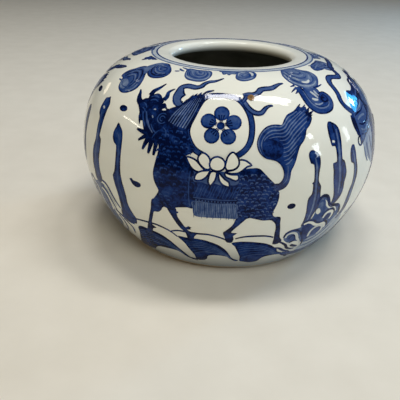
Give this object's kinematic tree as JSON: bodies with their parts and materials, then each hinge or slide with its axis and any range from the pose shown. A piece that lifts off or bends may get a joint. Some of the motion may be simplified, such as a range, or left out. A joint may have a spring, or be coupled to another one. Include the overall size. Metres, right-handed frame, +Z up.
{
  "type": "porcelain water coupe",
  "caption": "Squat globular porcelain water pot for the writing desk, with an incurved round mouth, a low turned foot and blue painting under clear glaze.",
  "frame": {"origin": "on the table, at the middle of the foot ring", "axes": "+Z up along the axis of the pot, out of the mouth; -Y towards the painted beast that faces the viewer"},
  "size_m": [0.11, 0.11, 0.0676],
  "materials": {
    "biscuit": "bare fired porcelain, matte",
    "glaze": "clear gloss over white",
    "cobalt": "blue painting under clear gloss"
  },
  "bodies": {
    "root": {"lower_body": "biscuit", "upper_body": "biscuit", "luting_slip": "biscuit", "outer_glaze": "glaze", "inner_glaze": "glaze", "base_glaze": "glaze", "inner_mouth_line": "cobalt", "outer_mouth_line": "cobalt"}
  },
  "joints": []
}
